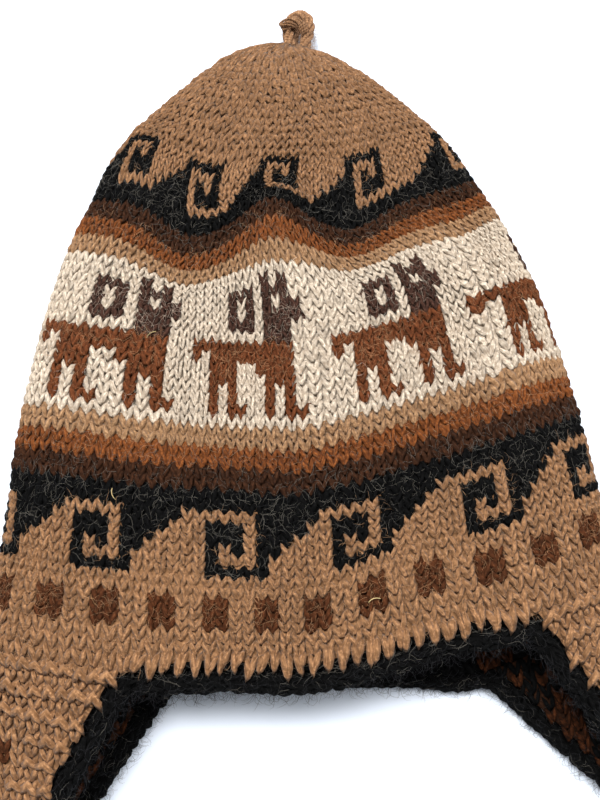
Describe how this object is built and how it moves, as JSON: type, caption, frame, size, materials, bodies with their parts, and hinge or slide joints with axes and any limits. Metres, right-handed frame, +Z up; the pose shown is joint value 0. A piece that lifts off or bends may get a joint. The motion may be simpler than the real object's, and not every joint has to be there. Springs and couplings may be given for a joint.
{
  "type": "chullo hat",
  "caption": "Lined, hand knitted wool hat with a rounded crown, a folded ear flap at each side, a crocheted edging and a yarn loop at the peak, lying flat.",
  "frame": {"origin": "middle of the hat's outline seen from above, on the surface that it lies on", "axes": "+X to the right of the hat seen from above with its brow towards the viewer, +Y from the brow to the peak, +Z up from the surface it lies on"},
  "size_m": [0.2664, 0.3852, 0.0395],
  "materials": {
    "camel_knit": "wool knit in stripes and figures",
    "dark_knit": "brushed dark wool knit",
    "black_crochet": "crocheted black wool",
    "camel_yarn": "twisted wool yarn"
  },
  "bodies": {
    "root": {"crown": "camel_knit", "crown_lining": "dark_knit", "ear_flap_left": "camel_knit", "ear_flap_right": "camel_knit", "flap_lining_left": "dark_knit", "flap_lining_right": "dark_knit", "brow_edging": "black_crochet", "top_loop": "camel_yarn"}
  },
  "joints": []
}
